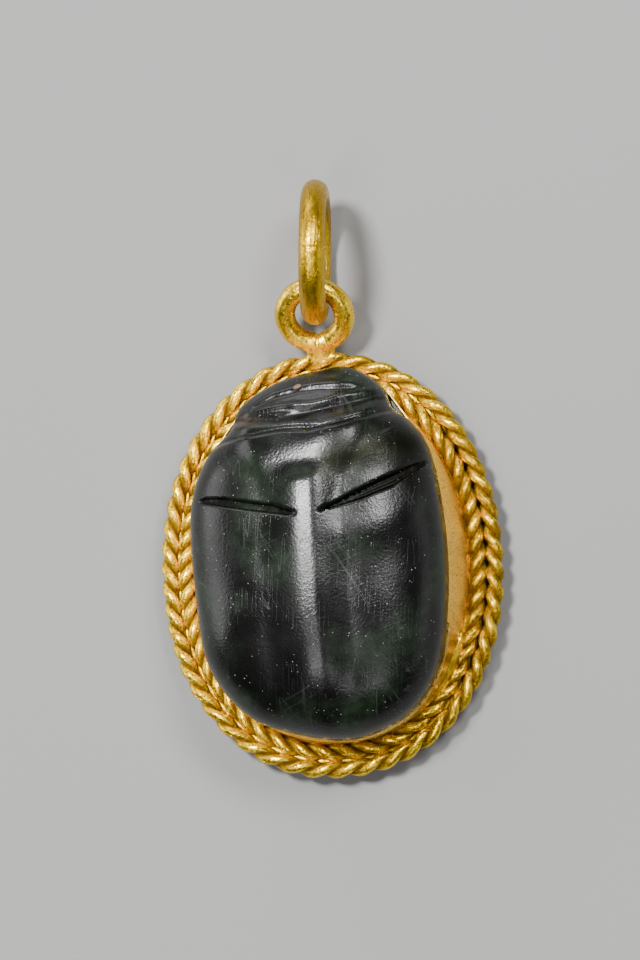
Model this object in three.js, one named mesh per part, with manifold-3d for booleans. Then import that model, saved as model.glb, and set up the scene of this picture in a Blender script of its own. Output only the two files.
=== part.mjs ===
// Scarab amulet: a carved stone scarab in a gold bezel, bordered by two twisted gold wires,
// with a soldered suspension eyelet and a loose jump ring. It lies on its flat back.
// Millimetres, +Z up, +Y towards the beetle's head and the jump ring.
import * as THREE from 'three';
import { mergeVertices } from 'three/addons/utils/BufferGeometryUtils.js';
import Module from 'manifold-3d';

// ---- Driving dimensions ----

// Mount: outer edge of the wire border, a slightly egg-shaped superellipse.
const MOUNT_HALF_WIDTH = 8.7;
const MOUNT_HALF_LENGTH = 10.7;
const MOUNT_EXPONENT = 2.095;
const MOUNT_EGG = 0.0175; // how much wider the tail half is than the head half

// Twisted wires: each is one doubled wire twisted on itself.
const ROPE_RADIUS = 0.43;
const ROPE_WAIST = 0.15; // half thickness between the two strands
const ROPE_GAP = 0.03;
const ROPE_HALF_TURNS = 51; // odd, so the two strands are one wire
const ROPE_STEPS_PER_HALF_TURN = 3;
const ROPE_HEIGHT = 1.3; // centre of the wires above the back

// Bezel: an open-backed gold strip round the stone.
const BEZEL_THICKNESS = 0.32;
const BEZEL_RIM_THICKNESS = 0.14; // the strip is burnished thin at its upper edge
const BEZEL_HEIGHT = 4.3;
const BEZEL_TO_ROPE = 0.06;
const BEZEL_TO_STONE = 0.05;

// Stone: its plinth fills the bezel, its sides rise a little above the rim to the girdle,
// and the beetle's back is domed above that.
const PLINTH_HEIGHT = 4.1; // the ledge that shows where the outline dips in at the neck
const GIRDLE_HEIGHT = 4.9;
const BACK_RISE = 3.4;
const BACK_FULLNESS = 2.3; // a higher exponent gives a flatter back and steeper flanks
const STONE_TURN = THREE.MathUtils.degToRad(4); // the stone sits a little turned in its mount
const NECK_Y = 6.75; // the groove between head and prothorax
const HEAD_DROP = 0.26; // share of the rise that the head loses in front of the neck
const NECK_DEPTH = 0.2;
const KEEL_HEIGHT = 0.3; // the ridge down the wing cases
const KEEL_HALF_WIDTH = 0.55;
const KEEL_TOP_Y = 4.4;
const FLANK_HOLLOW = 0.22; // the shallow hollow on each side of the keel

// Eyelet and jump ring.
const EYELET_RADIUS = 1.5;
const EYELET_WIRE = 0.52;
const EYELET_CENTRE = new THREE.Vector3(0.1, 12.4, 2.6);
const EYELET_RAKE = THREE.MathUtils.degToRad(32); // its free end is lifted off the ground
const RING_RADIUS = 2.975;
const RING_WIRE = 0.65;
const RING_CENTRE = new THREE.Vector3(0.5, 15.4, RING_RADIUS + RING_WIRE);
const RING_LEAN = THREE.MathUtils.degToRad(8); // the ring leans on the eyelet's side

// Outline of the beetle's back in the stone's own frame, anticlockwise from the tail.
// The neck points are where the outline dips in behind the head; the plinth leaves them out.
const BACK_OUTLINE = [
  { at: [0.7, -9.14] }, // tail
  { at: [3.5, -8.28] },
  { at: [5.15, -6.4] }, // right hip
  { at: [6.15, -2.9] },
  { at: [6.46, 1.2] }, // right side
  { at: [6.1, 4.8] },
  { at: [5.3, 6.2] }, // right shoulder
  { at: [4.7, 6.78], neck: true },
  { at: [4.2, 8.0] }, // right cheek
  { at: [2.7, 9.15] },
  { at: [1.0, 9.2] }, // front of the head
  { at: [-1.2, 8.8] },
  { at: [-2.85, 7.95] }, // left cheek
  { at: [-3.5, 6.9], neck: true },
  { at: [-4.8, 5.75] }, // left shoulder
  { at: [-5.9, 3.6] },
  { at: [-6.28, -0.9] }, // left side
  { at: [-6.0, -4.8] },
  { at: [-4.3, -7.4] }, // left hip
  { at: [-1.9, -8.6] },
];

// Incised lancets where prothorax and wing cases meet: inner end, outer end, in the stone's frame.
const LANCETS = [
  { from: [-0.95, 2.7], to: [-5.45, 3.75], halfWidth: 0.26, depth: 0.3 },
  { from: [0.3, 2.75], to: [5.5, 4.35], halfWidth: 0.36, depth: 0.4 },
];

const wasm = await Module();
wasm.setup();

// ---- Helpers ----

function closedMesh(geometry) {
  geometry.deleteAttribute('normal');
  geometry.deleteAttribute('uv');
  return mergeVertices(geometry, 1e-5);
}

function toManifold(geometry) {
  const merged = closedMesh(geometry);
  return new wasm.Manifold(new wasm.Mesh({
    numProp: 3,
    vertProperties: new Float32Array(merged.attributes.position.array),
    triVerts: new Uint32Array(merged.index.array),
  }));
}

function fromManifold(solid) {
  const mesh = solid.getMesh();
  const geometry = new THREE.BufferGeometry();
  geometry.setAttribute('position', new THREE.BufferAttribute(mesh.vertProperties, 3));
  geometry.setIndex(new THREE.BufferAttribute(mesh.triVerts, 1));
  return geometry;
}

// Moves every vertex of a geometry by a function that writes into the point it is given.
function reshape(geometry, place) {
  const position = geometry.attributes.position;
  const point = new THREE.Vector3();
  for (let i = 0; i < position.count; i += 1) {
    point.fromBufferAttribute(position, i);
    place(point, i);
    position.setXYZ(i, point.x, point.y, point.z);
  }
  return geometry;
}

function turnFacesRound(geometry) {
  geometry.index.array.reverse();
  return geometry;
}

const smooth = THREE.MathUtils.smoothstep;
const bump = (x, width) => Math.exp(-((x / width) ** 2));

// ---- Outlines, each as a radius for a direction seen from the mount's centre ----

// The mount's oval, drawn in by a distance.
function mountRadius(angle, inset) {
  const c = Math.abs(Math.cos(angle));
  const s = Math.abs(Math.sin(angle));
  const reach = ((c / (MOUNT_HALF_WIDTH - inset)) ** MOUNT_EXPONENT
    + (s / (MOUNT_HALF_LENGTH - inset)) ** MOUNT_EXPONENT) ** (-1 / MOUNT_EXPONENT);
  return reach * (1 - MOUNT_EGG * c * Math.sin(angle));
}

// A closed spline through outline points, turned into the mount's frame.
function splineRadius(points) {
  const corners = points.map(({ at }) => new THREE.Vector3(at[0], at[1], 0)
    .applyAxisAngle(new THREE.Vector3(0, 0, 1), STONE_TURN));
  const samples = new THREE.CatmullRomCurve3(corners, true).getPoints(720)
    .map((p) => ({ angle: Math.atan2(p.y, p.x), radius: Math.hypot(p.x, p.y) }))
    .sort((a, b) => a.angle - b.angle);
  return (angle) => {
    const turned = Math.atan2(Math.sin(angle), Math.cos(angle));
    const next = samples.findIndex((s) => s.angle >= turned);
    const b = samples[Math.max(next, 0)];
    const a = samples.at(next <= 0 ? -1 : next - 1);
    const gap = THREE.MathUtils.euclideanModulo(b.angle - a.angle, 2 * Math.PI);
    const along = THREE.MathUtils.euclideanModulo(turned - a.angle, 2 * Math.PI);
    return THREE.MathUtils.lerp(a.radius, b.radius, gap > 0 ? along / gap : 0);
  };
}

const backRadius = splineRadius(BACK_OUTLINE);
const plinthRadius = splineRadius(BACK_OUTLINE.filter(({ neck }) => !neck));

// The stone's side wall: upright behind the wires, then leaning out to the bezel's rim.
const FOOT_INSET = 4 * ROPE_RADIUS + ROPE_GAP + BEZEL_TO_ROPE + BEZEL_THICKNESS + BEZEL_TO_STONE;
function wallRadius(angle, height) {
  const lean = THREE.MathUtils.clamp((height - ROPE_HEIGHT) / (BEZEL_HEIGHT - ROPE_HEIGHT), 0, 1);
  return THREE.MathUtils.lerp(mountRadius(angle, FOOT_INSET), plinthRadius(angle), lean);
}

// ---- Stone ----

// Height of the carved back at a point of the mount's frame. Beyond the beetle's own outline,
// by more than this share, lies the plinth's ledge.
const NECK_DIP = 1.015;
function backHeight(x, y) {
  const share = Math.hypot(x, y) / backRadius(Math.atan2(y, x));
  if (share > NECK_DIP) return PLINTH_HEIGHT;
  const sx = x * Math.cos(STONE_TURN) + y * Math.sin(STONE_TURN);
  const sy = y * Math.cos(STONE_TURN) - x * Math.sin(STONE_TURN);
  const dome = Math.sqrt(Math.max(0, 1 - share ** BACK_FULLNESS));
  const head = 1 - HEAD_DROP * smooth(sy, NECK_Y - 0.35, NECK_Y + 0.15);
  const wings = smooth(sy, -8.6, -6.5) * (1 - smooth(sy, KEEL_TOP_Y - 1.6, KEEL_TOP_Y));
  const keel = KEEL_HEIGHT * bump(sx, KEEL_HALF_WIDTH);
  const hollow = FLANK_HOLLOW * bump(Math.abs(sx) - 1.7, 1.1);
  const neck = NECK_DEPTH * bump(sy - NECK_Y, 0.4);
  return GIRDLE_HEIGHT + dome * (BACK_RISE * head - neck + wings * (keel - hollow));
}

// A box whose square faces are drawn round into the outline, its top raised into the back.
// It reaches below the ground by the saw allowance and is cut off flat there.
const SAW_ALLOWANCE = 1;
function stoneBody() {
  const levels = [-SAW_ALLOWANCE, ROPE_HEIGHT, BEZEL_HEIGHT, GIRDLE_HEIGHT];
  return reshape(new THREE.BoxGeometry(2, 2, 2, 22, 32, levels.length - 1), (p) => {
    const x = p.x * Math.sqrt(1 - p.y * p.y / 2);
    const y = p.y * Math.sqrt(1 - p.x * p.x / 2);
    const angle = Math.atan2(y, x);
    const height = levels[Math.round((p.z + 1) / 2 * (levels.length - 1))];
    const radius = Math.hypot(x, y) * wallRadius(angle, height);
    p.set(radius * Math.cos(angle), radius * Math.sin(angle), height);
    if (height === GIRDLE_HEIGHT) p.z = backHeight(p.x, p.y);
  });
}

// A gouge that follows the back from end to end and is deepest in the middle.
const CUT_HEADROOM = 0.1;
function lancetCut({ from, to, halfWidth, depth }) {
  const axis = new THREE.Vector3(0, 0, 1);
  const start = new THREE.Vector3(...from, 0).applyAxisAngle(axis, STONE_TURN);
  const end = new THREE.Vector3(...to, 0).applyAxisAngle(axis, STONE_TURN);
  const along = end.clone().sub(start).divideScalar(2);
  const across = along.clone().normalize().applyAxisAngle(axis, Math.PI / 2);
  const middle = start.clone().add(along);
  return reshape(new THREE.SphereGeometry(1, 6, 10), (p) => {
    const spot = middle.clone().addScaledVector(along, p.y);
    const height = backHeight(spot.x, spot.y) + depth * p.z + CUT_HEADROOM;
    const sideways = -halfWidth * p.x;
    p.copy(spot).addScaledVector(across, sideways).setZ(height);
  });
}

function scarabGeometry() {
  const offcut = new THREE.BoxGeometry(30, 30, 2 * SAW_ALLOWANCE).translate(0, 0, -SAW_ALLOWANCE);
  return fromManifold(LANCETS.reduce(
    (stone, lancet) => stone.subtract(toManifold(lancetCut(lancet))),
    toManifold(stoneBody()).subtract(toManifold(offcut)),
  ));
}

// ---- Bezel ----

// A torus whose section is drawn out into the strip's upright rectangle.
function bezelGeometry() {
  const inside = BEZEL_TO_STONE;
  const outside = BEZEL_TO_STONE + BEZEL_THICKNESS;
  const section = [
    [outside, 0], [outside, ROPE_HEIGHT], [inside + BEZEL_RIM_THICKNESS, BEZEL_HEIGHT],
    [inside, BEZEL_HEIGHT], [inside, ROPE_HEIGHT], [inside, 0],
  ];
  const around = 84;
  return closedMesh(reshape(new THREE.TorusGeometry(2, 1, section.length, around), (p, i) => {
    const angle = (i % (around + 1)) / around * 2 * Math.PI;
    const [offset, height] = section[Math.floor(i / (around + 1)) % section.length];
    const radius = wallRadius(angle, height) + offset;
    p.set(radius * Math.cos(angle), radius * Math.sin(angle), height);
  }));
}

// ---- Twisted wires ----

class MountOval extends THREE.Curve {
  constructor(inset) {
    super();
    this.inset = inset;
    this.arcLengthDivisions = 720;
  }

  getPoint(t, target = new THREE.Vector3()) {
    const angle = 2 * Math.PI * t;
    const radius = mountRadius(angle, this.inset);
    return target.set(radius * Math.cos(angle), radius * Math.sin(angle), ROPE_HEIGHT);
  }
}

// Radius of two round strands side by side, for a direction in their section.
function ropeSection(angle) {
  return Math.max(ROPE_RADIUS * Math.abs(Math.cos(angle)), ROPE_WAIST);
}

// A torus whose section is two strands, turning as it goes round; hand +1 is right-handed.
function ropeGeometry(inset, hand) {
  const sides = [0, 40, 90, 140, 180, 220, 270, 320].map(THREE.MathUtils.degToRad);
  const around = ROPE_HALF_TURNS * ROPE_STEPS_PER_HALF_TURN;
  const oval = new MountOval(inset);
  const rope = closedMesh(reshape(new THREE.TorusGeometry(2, 1, sides.length, around), (p, i) => {
    const step = i % (around + 1);
    const row = Math.floor(i / (around + 1));
    // Where the rope meets its start, half a turn has swapped the two strands.
    const closing = step === around;
    const side = sides[(closing ? row + sides.length / 2 : row) % sides.length];
    const t = closing ? 0 : step / around;
    const tangent = oval.getTangentAt(t);
    const outward = new THREE.Vector3(tangent.y, -tangent.x, 0);
    const turned = hand * (Math.PI * ROPE_HALF_TURNS * t - side);
    p.copy(oval.getPointAt(t)).addScaledVector(outward, ropeSection(side) * Math.cos(turned));
    p.z -= ropeSection(side) * Math.sin(turned);
  }));
  return hand > 0 ? rope : turnFacesRound(rope);
}

// ---- Eyelet and jump ring ----

function eyeletGeometry() {
  const ring = new THREE.TorusGeometry(EYELET_RADIUS, EYELET_WIRE, 10, 28)
    .rotateX(EYELET_RAKE).translate(...EYELET_CENTRE);
  const ropeY = mountRadius(Math.PI / 2, ROPE_RADIUS);
  const solder = new THREE.SphereGeometry(1, 14, 10).scale(0.8, 0.62, 0.5)
    .translate(EYELET_CENTRE.x, ropeY + 0.55, ROPE_HEIGHT + 0.3);
  const saddle = new THREE.CylinderGeometry(ROPE_RADIUS + 0.1, ROPE_RADIUS + 0.1, 4, 16)
    .rotateZ(Math.PI / 2).translate(EYELET_CENTRE.x, ropeY, ROPE_HEIGHT);
  return fromManifold(toManifold(ring).add(toManifold(solder)).subtract(toManifold(saddle)));
}

function jumpRingGeometry() {
  return closedMesh(new THREE.TorusGeometry(RING_RADIUS, RING_WIRE, 10, 36)
    .rotateY(Math.PI / 2 + RING_LEAN).translate(...RING_CENTRE));
}

// ---- Assembly ----

const stone = new THREE.MeshStandardMaterial({ color: 0x232823, roughness: 0.35, metalness: 0 });
const gold = (color, roughness) => new THREE.MeshStandardMaterial({ color, roughness, metalness: 1 });

const amulet = new THREE.Group();
const pieces = [
  ['scarab', scarabGeometry(), stone],
  ['bezel_collar', bezelGeometry(), gold(0xd9ad4e, 0.42)],
  ['inner_twisted_wire', ropeGeometry(3 * ROPE_RADIUS + ROPE_GAP, 1), gold(0xe0a62e, 0.3)],
  ['outer_twisted_wire', ropeGeometry(ROPE_RADIUS, -1), gold(0xe3ab33, 0.3)],
  ['eyelet', eyeletGeometry(), gold(0xdca63a, 0.3)],
  ['jump_ring', jumpRingGeometry(), gold(0xd8a845, 0.34)],
];
for (const [name, geometry, material] of pieces) {
  const piece = new THREE.Mesh(geometry, material);
  piece.name = name;
  amulet.add(piece);
}

// The origin is under the middle of the whole amulet, on the surface it lies on.
const box = new THREE.Box3().setFromObject(amulet);
const middle = box.getCenter(new THREE.Vector3());
amulet.position.set(-middle.x, -middle.y, -box.min.z);

export default amulet;
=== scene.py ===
# %% [markdown]
# # A scarab amulet in a gold mount
# A beetle carved from near-black green stone sits in an open-backed gold bezel. Two twisted gold
# wires run round the bezel side by side, and because they are twisted in opposite directions they
# read as a plait. An eyelet is soldered to the head end, and a loose ring hangs in it. The amulet
# lies on its flat back. This lesson models every piece a second time, finer than the frame's own
# solids, and gives each a finish built from nodes. The frame is loaded first, because the places and
# the main sizes come from it.

# %% Load the frame
import math

import bpy
import numpy as np
from mathutils import Matrix, Vector


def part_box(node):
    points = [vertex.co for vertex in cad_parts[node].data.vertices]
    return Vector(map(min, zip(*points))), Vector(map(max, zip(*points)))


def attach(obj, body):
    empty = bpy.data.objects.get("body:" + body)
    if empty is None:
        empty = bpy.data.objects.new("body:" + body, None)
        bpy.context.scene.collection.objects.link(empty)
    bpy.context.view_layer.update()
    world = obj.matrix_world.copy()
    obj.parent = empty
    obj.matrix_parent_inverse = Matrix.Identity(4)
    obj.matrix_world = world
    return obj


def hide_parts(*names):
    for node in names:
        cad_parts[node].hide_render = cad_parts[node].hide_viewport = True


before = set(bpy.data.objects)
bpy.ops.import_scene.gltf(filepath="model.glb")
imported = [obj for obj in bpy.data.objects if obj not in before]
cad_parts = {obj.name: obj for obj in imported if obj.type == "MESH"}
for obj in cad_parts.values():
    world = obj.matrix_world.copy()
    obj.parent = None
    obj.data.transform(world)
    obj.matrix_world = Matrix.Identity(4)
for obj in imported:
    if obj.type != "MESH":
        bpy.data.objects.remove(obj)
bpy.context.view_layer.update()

# %% [markdown]
# Blender's own bpy makes and changes things, numpy works out many points at once, and mathutils
# turns the camera.

# %% [markdown]
# ## Measures
# A goldsmith works in millimetres and Blender in metres, so lengths are written in millimetres here
# and multiplied by MM where a mesh is made. The places come from the frame: the middle of the mount
# is the middle of the outer wire, and the heights are read off the outer wire and the bezel.

# %% Driving measures
MM = 0.001


def box_mm(node):
    """The two corners of a frame solid's box."""
    low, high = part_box(node)
    return np.array(low) / MM, np.array(high) / MM


rope_low, rope_high = box_mm("outer_twisted_wire")
bezel_low, bezel_high = box_mm("bezel_collar")
mount_centre = (rope_low + rope_high) / 2
HALF_WIDTH, HALF_LENGTH = (rope_high - rope_low)[:2] / 2
ROPE_HEIGHT = mount_centre[2]
BEZEL_HEIGHT = bezel_high[2]
print("mount", round(2 * HALF_WIDTH, 2), "x", round(2 * HALF_LENGTH, 2), "mm, rope at", ROPE_HEIGHT)

OVAL_EXPONENT = 2.095  # a little squarer than an ellipse
OVAL_EGG = 0.0175  # the tail half is this share wider, the head half as much narrower
ROPE_RADIUS = 0.43
ROPE_GAP = 0.03
BEZEL_THICKNESS = 0.32
BEZEL_RIM = 0.07  # the strip's thickness at its top, where it is burnished thin
BEZEL_TO_ROPE = 0.06
BEZEL_TO_STONE = 0.05
FOOT_INSET = 4 * ROPE_RADIUS + ROPE_GAP + BEZEL_TO_ROPE + BEZEL_THICKNESS + BEZEL_TO_STONE
print("the stone's wall stands", round(FOOT_INSET, 2), "mm inside the mount's edge")

# %% [markdown]
# ## Outlines
# Everything in the mount is drawn round one centre, so each outline is kept as a radius for a
# direction. The mount's oval has a formula. The beetle was cut by hand and is uneven, so its outline
# is a smooth curve through a few points: tail, hips, flanks, shoulders, neck, cheeks and brow.

# %% Outline helpers
BACK_OUTLINE = [
    (0.7, -9.14), (3.5, -8.28), (5.15, -6.4), (6.15, -2.9), (6.46, 1.2), (6.1, 4.8), (5.3, 6.2),
    (4.7, 6.78), (4.2, 8.0), (2.7, 9.15), (1.0, 9.2), (-1.2, 8.8), (-2.85, 7.95), (-3.5, 6.9),
    (-4.8, 5.75), (-5.9, 3.6), (-6.28, -0.9), (-6.0, -4.8), (-4.3, -7.4), (-1.9, -8.6),
]
NECK_DIPS = [(4.7, 6.78), (-3.5, 6.9)]  # the back dips in behind the head, the plinth does not
STONE_TURN = math.radians(4)  # the stone sits a little turned in its mount


def turned(x, y, angle):
    """x and y turned anticlockwise by an angle."""
    return x * math.cos(angle) - y * math.sin(angle), x * math.sin(angle) + y * math.cos(angle)


def smooth_closed_curve(points, steps=40):
    """A centripetal Catmull-Rom curve through the points and back to the first."""

    def between(a, b, ta, tb, at):
        return ((tb - at) * a + (at - ta) * b) / (tb - ta)

    points = np.array(points)
    curve = []
    for i in range(len(points)):
        p0, p1, p2, p3 = (points[(i + k) % len(points)] for k in (-1, 0, 1, 2))
        t0, t1 = 0, np.linalg.norm(p1 - p0) ** 0.5
        t2 = t1 + np.linalg.norm(p2 - p1) ** 0.5
        t3 = t2 + np.linalg.norm(p3 - p2) ** 0.5
        at = np.linspace(t1, t2, steps, endpoint=False)[:, None]
        first, middle = between(p0, p1, t0, t1, at), between(p1, p2, t1, t2, at)
        last = between(p2, p3, t2, t3, at)
        near, far = between(first, middle, t0, t2, at), between(middle, last, t1, t3, at)
        curve.append(between(near, far, t1, t2, at))
    return np.concatenate(curve)


def radius_table(points):
    """Radius against direction, in the mount's frame, of a closed outline of the stone."""
    curve = smooth_closed_curve(points)
    x, y = turned(curve[:, 0], curve[:, 1], STONE_TURN)
    angle = np.arctan2(y, x)
    order = np.argsort(angle)
    return angle[order], np.hypot(x, y)[order]


back_table = radius_table(BACK_OUTLINE)
plinth_table = radius_table([point for point in BACK_OUTLINE if point not in NECK_DIPS])


def look_up(table, angle):
    """The radius a table gives for a direction."""
    return np.interp(angle, table[0], table[1], period=2 * np.pi)


def mount_radius(angle, inset):
    """The radius of the mount's oval, drawn in from its edge by an inset."""
    c, s = np.abs(np.cos(angle)), np.abs(np.sin(angle))
    reach = (c / (HALF_WIDTH - inset)) ** OVAL_EXPONENT + (s / (HALF_LENGTH - inset)) ** OVAL_EXPONENT
    return reach ** (-1 / OVAL_EXPONENT) * (1 - OVAL_EGG * c * np.sin(angle))


def wall_radius(angle, height):
    """The stone's side wall: upright behind the wires, then leaning out to the bezel's rim."""
    lean = np.clip((height - ROPE_HEIGHT) / (BEZEL_HEIGHT - ROPE_HEIGHT), 0, 1)
    return (1 - lean) * mount_radius(angle, FOOT_INSET) + lean * look_up(plinth_table, angle)


print("beetle outline runs", round(min(back_table[1]), 2), "to", round(max(back_table[1]), 2), "mm")

# %% [markdown]
# ## Working by hand, in code
# Blender's operators act on whatever is selected, and loading the frame leaves its parts selected.
# So each piece starts with nothing selected, adds one primitive, and is then shaped. Two small
# helpers read and write all the points of a mesh at once, which is much faster than one by one.

# %% Mesh helpers
def start_clean():
    """Object mode, with nothing selected."""
    if bpy.context.mode != "OBJECT":
        bpy.ops.object.mode_set(mode="OBJECT")
    bpy.ops.object.select_all(action="DESELECT")


def points_of(piece):
    """All the points of a mesh, in metres, one row each."""
    flat = np.empty(len(piece.data.vertices) * 3)
    piece.data.vertices.foreach_get("co", flat)
    return flat.reshape(-1, 3)


def place_points(piece, points_mm):
    """Moves the points of a piece, given in millimetres from the mount's centre on the ground."""
    moved = np.array(points_mm, float)
    moved[:, :2] += mount_centre[:2]
    piece.data.vertices.foreach_set("co", (moved * MM).ravel())
    piece.data.update()


def store(piece, name, values):
    """Keeps one number per point, for the finish to read."""
    attribute = piece.data.attributes.new(name, "FLOAT", "POINT")
    attribute.data.foreach_set("value", np.asarray(values, np.float32))


def clean_up(piece, smooth_angle=50):
    """Turns the faces out and shades the piece smooth up to an angle."""
    start_clean()
    bpy.context.view_layer.objects.active = piece
    piece.select_set(True)
    bpy.ops.object.mode_set(mode="EDIT")
    bpy.ops.mesh.select_all(action="SELECT")
    bpy.ops.mesh.normals_make_consistent(inside=False)
    bpy.ops.object.mode_set(mode="OBJECT")
    bpy.ops.object.shade_smooth_by_angle(angle=math.radians(smooth_angle))
    print(piece.name, "has", len(piece.data.polygons), "faces")


print("helpers for meshes: start_clean, points_of, place_points, store, clean_up")

# %% [markdown]
# The wires, the bezel and the rings are all closed rings. A torus primitive would be the usual start,
# but it has at most 256 steps, and a twisted wire needs many more. So a flat grid is rolled up both
# ways and its two seams are merged. A wire can also be laid out straight, for the finish to use.

# %% Closed rings
SEAM = 0.002  # points closer than this are one point


def closed_ring(name, around, sides, place, laid_out=None):
    """A flat grid rolled both ways into a closed ring. The place function is given how far round the
    ring (u) and round its section (v) each point is, from 0 to 1, and says where it goes."""
    start_clean()
    bpy.ops.mesh.primitive_grid_add(x_subdivisions=around, y_subdivisions=sides, size=2)
    piece = bpy.context.active_object
    piece.name = name
    u, v = ((points_of(piece)[:, :2] + 1) / 2).T
    place_points(piece, place(u, v))
    if laid_out:
        attribute = piece.data.attributes.new("laid_out", "FLOAT_VECTOR", "POINT")
        attribute.data.foreach_set("vector", laid_out(u, v).astype(np.float32).ravel())
    bpy.ops.object.mode_set(mode="EDIT")
    bpy.ops.mesh.select_all(action="SELECT")
    bpy.ops.mesh.remove_doubles(threshold=SEAM * MM)
    bpy.ops.object.mode_set(mode="OBJECT")
    return piece


def drawn_lines(thickness, length):
    """Lays a wire out straight, so that the finish can draw lines that follow it."""
    def laid_out(along, side):
        swing = 2 * np.pi * side
        return np.column_stack([thickness * np.cos(swing), thickness * np.sin(swing), length * along])
    return laid_out


print("a closed ring's seam is merged within", SEAM, "mm")

# %% [markdown]
# Nothing on a handmade piece is quite even. Unevenness comes from ripple, a sum of a few waves with
# random sizes and a fixed seed, so that each run gives the same wobble. Two more shapes are used all
# through the lesson: a soft step and a soft bump.

# %% Waves, steps and bumps
def ripple(t, seed, size, waves=(2, 9)):
    """A smooth random wobble that closes on itself as t goes from 0 to 1."""
    dice = np.random.default_rng(seed)
    total = np.zeros_like(t, dtype=float)
    for k in range(*waves):
        total += dice.normal() / math.sqrt(k) * np.sin(2 * np.pi * (k * t + dice.random()))
    return size * total / math.sqrt(waves[1] - waves[0])


def smooth_step(x, low, high):
    """0 below low, 1 above high, and a soft rise between them."""
    t = np.clip((x - low) / (high - low), 0, 1)
    return t * t * (3 - 2 * t)


def bell(x, width):
    """1 at zero, falling softly away to either side."""
    return np.exp(-(x / width) ** 2)


print("halfway up, smooth_step gives", smooth_step(0.5, 0, 1), "and at 0 bell gives", bell(0, 1))

# %% [markdown]
# ## The camera
# It looks down on the lying amulet from a little to the beetle's right and a little behind its tail,
# with a long lens so that near and far parts keep their proportions. It is also rolled slightly, so
# the mount's long axis leans to the left.

# %% Camera
VIEW_RIGHT = math.radians(11)
VIEW_BACK = math.radians(7)
VIEW_ROLL = math.radians(3.28)
CAMERA_DISTANCE = 300
FIELD_HEIGHT = 48  # what the picture's height spans at the mount, in mm
aim = np.array([-0.35, 4.27, ROPE_HEIGHT]) + [mount_centre[0], mount_centre[1], 0]

back = Vector((math.tan(VIEW_RIGHT), -math.tan(VIEW_BACK), 1)).normalized()
camera_data = bpy.data.cameras.new("camera")
camera = bpy.data.objects.new("camera", camera_data)
bpy.context.collection.objects.link(camera)
camera_data.sensor_width = 36
camera_data.lens = camera_data.sensor_width * CAMERA_DISTANCE / FIELD_HEIGHT
camera_data.clip_start = 0.01
camera_data.clip_end = 10
camera.location = Vector(aim * MM) + back * CAMERA_DISTANCE * MM
upright = Vector((math.sin(VIEW_ROLL), math.cos(VIEW_ROLL), 0))
side = upright.cross(back).normalized()
over = back.cross(side)
camera.rotation_euler = Matrix((side, over, back)).transposed().to_euler()
bpy.context.scene.camera = camera
print("camera", CAMERA_DISTANCE, "mm away, with a lens of", round(camera_data.lens), "mm")

# %% [markdown]
# ## The beetle
# The stone was sawn to a slab, rounded by grinding, and its details were cut with a point and a
# wheel: a ridge between the wing cases, a long lens-shaped cut across the top of each, a groove
# behind the head, and creases on the head. A grid gives a sheet of even squares. It is pressed to
# the beetle's outline like dough to a tin, its rim is pulled down to make the sides and the flat
# underside, and its height is then carved by one function, as a wheel takes the stone down.

# %% The beetle's sheet and its walls
SHEET_CELLS = (230, 320)
GIRDLE_HEIGHT = 4.9  # the stone's widest level, from which the back rises
PLINTH_HEIGHT = 4.1
UNDERCUT_HEIGHTS = [4.5, 4.12]  # between the girdle and the plinth
WALL_HEIGHTS = [3.4, 2.4, 1.3, 0.5, 0.12]
UNDERSIDE_RINGS = [  # share of the wall's radius, and height: a flat face with one line cut round it
    (0.985, 0.03), (0.95, 0), (0.9, 0), (0.892, 0.09), (0.884, 0.09), (0.876, 0), (0.6, 0),
]
start_clean()
bpy.ops.mesh.primitive_grid_add(x_subdivisions=SHEET_CELLS[0], y_subdivisions=SHEET_CELLS[1], size=2)
scarab = bpy.context.active_object
scarab.name = "carved_scarab"
rings = len(UNDERCUT_HEIGHTS) + 1 + len(WALL_HEIGHTS) + len(UNDERSIDE_RINGS)
bpy.ops.object.mode_set(mode="EDIT")
bpy.ops.mesh.select_mode(type="EDGE")
bpy.ops.mesh.select_all(action="DESELECT")
bpy.ops.mesh.select_non_manifold()
for _ in range(rings):
    bpy.ops.mesh.extrude_region_move(TRANSFORM_OT_translate={"value": (0, 0, -1)})
bpy.ops.mesh.edge_face_add()
bpy.ops.object.mode_set(mode="OBJECT")
sheet = points_of(scarab)
ring = np.round(-sheet[:, 2]).astype(int)
print("sheet of", len(sheet), "points with", rings, "rings below its rim")

# %% [markdown]
# The carving works in the stone's own frame, x across and y towards the head. Each cut follows a
# line measured in millimetres, and helper functions turn such a line into a depth: how far a point
# is from it, and on which side.

# %% Carving helpers
def off_line(x, y, line):
    """How far above a line (left to right in x) a point is, and whether it is between its ends."""
    line = np.array(line)
    left, right = line[0, 0], line[-1, 0]
    inside = smooth_step(x, left - 0.25, left + 0.35) * (1 - smooth_step(x, right - 0.35, right + 0.25))
    return y - np.interp(x, line[:, 0], line[:, 1]), inside


def lens_cut(x, y, lower, upper, depth):
    """A long cut between two lines, steep at both and a little raised along its middle."""
    lower, upper = np.array(lower), np.array(upper)
    low = np.interp(x, lower[:, 0], lower[:, 1])
    high = np.interp(x, upper[:, 0], upper[:, 1])
    start, end = max(lower[0, 0], upper[0, 0]) - 0.1, min(lower[-1, 0], upper[-1, 0]) + 0.1
    share = (y - low) / np.maximum(high - low, 0.05)
    across = np.clip(np.minimum(share / 0.36, (1 - share) / 0.28), 0, 1)
    along = np.clip(np.minimum(x - start, end - x) / 0.4, 0, 1)
    return depth * (smooth_step(across, 0, 1) - 0.3 * bell(share - 0.52, 0.2)) * along


print("a point 1 mm above a level line reads", off_line(0, 1, [(-2, 0), (2, 0)])[0])

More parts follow.
